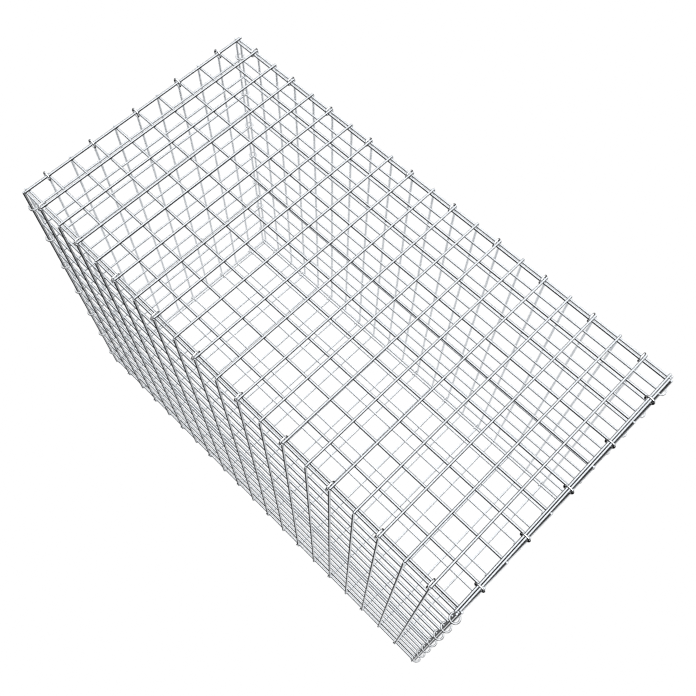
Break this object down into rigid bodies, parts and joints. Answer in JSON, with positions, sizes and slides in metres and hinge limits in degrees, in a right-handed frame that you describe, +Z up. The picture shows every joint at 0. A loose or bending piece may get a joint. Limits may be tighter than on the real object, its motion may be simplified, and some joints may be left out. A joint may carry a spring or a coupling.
{
  "type": "gabion basket",
  "caption": "Empty box-shaped basket of welded galvanised wire mesh with a lid, its flat panels joined along every edge by steel C-rings; filled with stone it is a block of a gabion wall.",
  "frame": {"origin": "on the ground under the middle of the basket", "axes": "+X along the long side, +Y from the front to the back, +Z up"},
  "size_m": [1.022, 0.5186, 0.7213],
  "materials": {
    "mesh_wire": "galvanised",
    "ring_wire": "galvanised"
  },
  "bodies": {
    "root": {"lid_cross_wires": "mesh_wire", "lid_line_wires": "mesh_wire", "base_panel": "mesh_wire", "front_panel": "mesh_wire", "back_panel": "mesh_wire", "left_end_panel": "mesh_wire", "right_end_panel": "mesh_wire", "lid_front_rings": "ring_wire", "lid_back_rings": "ring_wire", "lid_left_rings": "ring_wire", "lid_right_rings": "ring_wire", "base_front_rings": "ring_wire", "base_back_rings": "ring_wire", "base_left_rings": "ring_wire", "base_right_rings": "ring_wire", "front_left_corner_rings": "ring_wire", "front_right_corner_rings": "ring_wire", "back_left_corner_rings": "ring_wire", "back_right_corner_rings": "ring_wire"}
  },
  "joints": []
}
